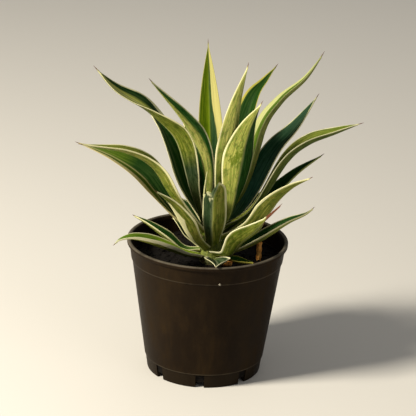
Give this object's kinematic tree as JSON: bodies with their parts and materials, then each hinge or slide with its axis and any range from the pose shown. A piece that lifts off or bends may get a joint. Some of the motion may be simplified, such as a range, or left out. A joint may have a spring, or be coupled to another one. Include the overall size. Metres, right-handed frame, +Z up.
{
  "type": "potted variegated agave",
  "caption": "Succulent rosette of arching, spine-tipped green leaves with cream edges, growing in soil in a tapered black nursery pot with a rolled rim and foot notches.",
  "frame": {"origin": "middle of the pot's base, at the foot in its centre, on the surface that it stands on", "axes": "+Z up; -Y is the side that faces the viewer in the picture; +X is to the viewer's right"},
  "size_m": [0.2623, 0.1687, 0.31],
  "materials": {
    "pot": "satin",
    "soil": "matte",
    "stem": "matte",
    "leaf": "satin",
    "dry_leaf": "matte"
  },
  "bodies": {
    "root": {"pot": "pot", "soil": "soil", "stem": "stem", "leaf_outer_5": "leaf", "leaf_outer_4": "leaf", "leaf_outer_3": "leaf", "leaf_far_8": "leaf", "leaf_far_7": "leaf", "leaf_outer_2": "leaf", "leaf_middle_9": "leaf", "leaf_far_6": "leaf", "leaf_outer_1": "leaf", "leaf_middle_10": "leaf", "leaf_far_5": "leaf", "leaf_inner_7": "leaf", "leaf_middle_7": "leaf", "leaf_middle_6": "leaf", "leaf_middle_8": "leaf", "leaf_far_4": "leaf", "leaf_middle_1": "leaf", "leaf_middle_5": "leaf", "leaf_middle_3": "leaf", "leaf_middle_4": "leaf", "leaf_middle_2": "leaf", "leaf_far_3": "leaf", "leaf_far_2": "leaf", "leaf_inner_5": "leaf", "leaf_inner_4": "leaf", "leaf_inner_6": "leaf", "leaf_inner_3": "leaf", "leaf_inner_2": "leaf", "leaf_inner_1": "leaf", "leaf_inner_8": "leaf", "dry_leaf": "dry_leaf", "dry_stalk": "dry_leaf"}
  },
  "joints": []
}
